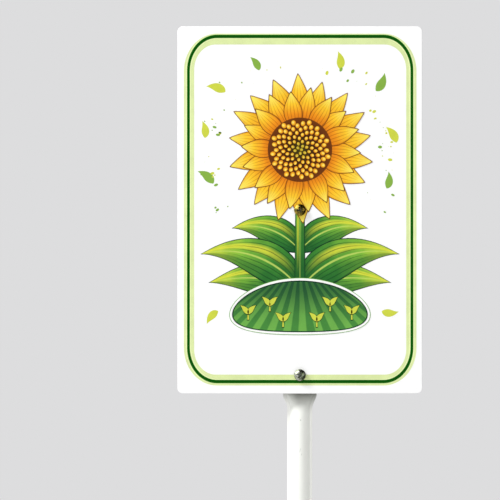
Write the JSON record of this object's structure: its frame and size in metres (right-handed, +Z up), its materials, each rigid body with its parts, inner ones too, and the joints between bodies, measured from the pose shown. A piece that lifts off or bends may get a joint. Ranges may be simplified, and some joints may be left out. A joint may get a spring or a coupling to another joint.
{
  "type": "garden sign on ground stake",
  "caption": "Upright rounded rectangular garden sign plate, screwed to the flat tab of a white moulded plastic ground stake that ends in a spade point.",
  "frame": {"origin": "the middle of the small flat at the very end of the stake's point", "axes": "+Z up along the stake, the printed front of the plate faces -Y, +X to the right of someone who reads the sign"},
  "size_m": [0.2032, 0.025, 0.74],
  "materials": {
    "plate_plastic": "smooth white rigid sheet, printed on the front",
    "stake_plastic": "satin white moulding with a faint parting rim and small scuffs",
    "fixing_steel": "bright zinc plate"
  },
  "bodies": {
    "root": {"sign_plate": "plate_plastic", "stake": "stake_plastic", "upper_screw": "fixing_steel", "lower_screw": "fixing_steel", "upper_nut": "fixing_steel", "lower_nut": "fixing_steel"}
  },
  "joints": []
}
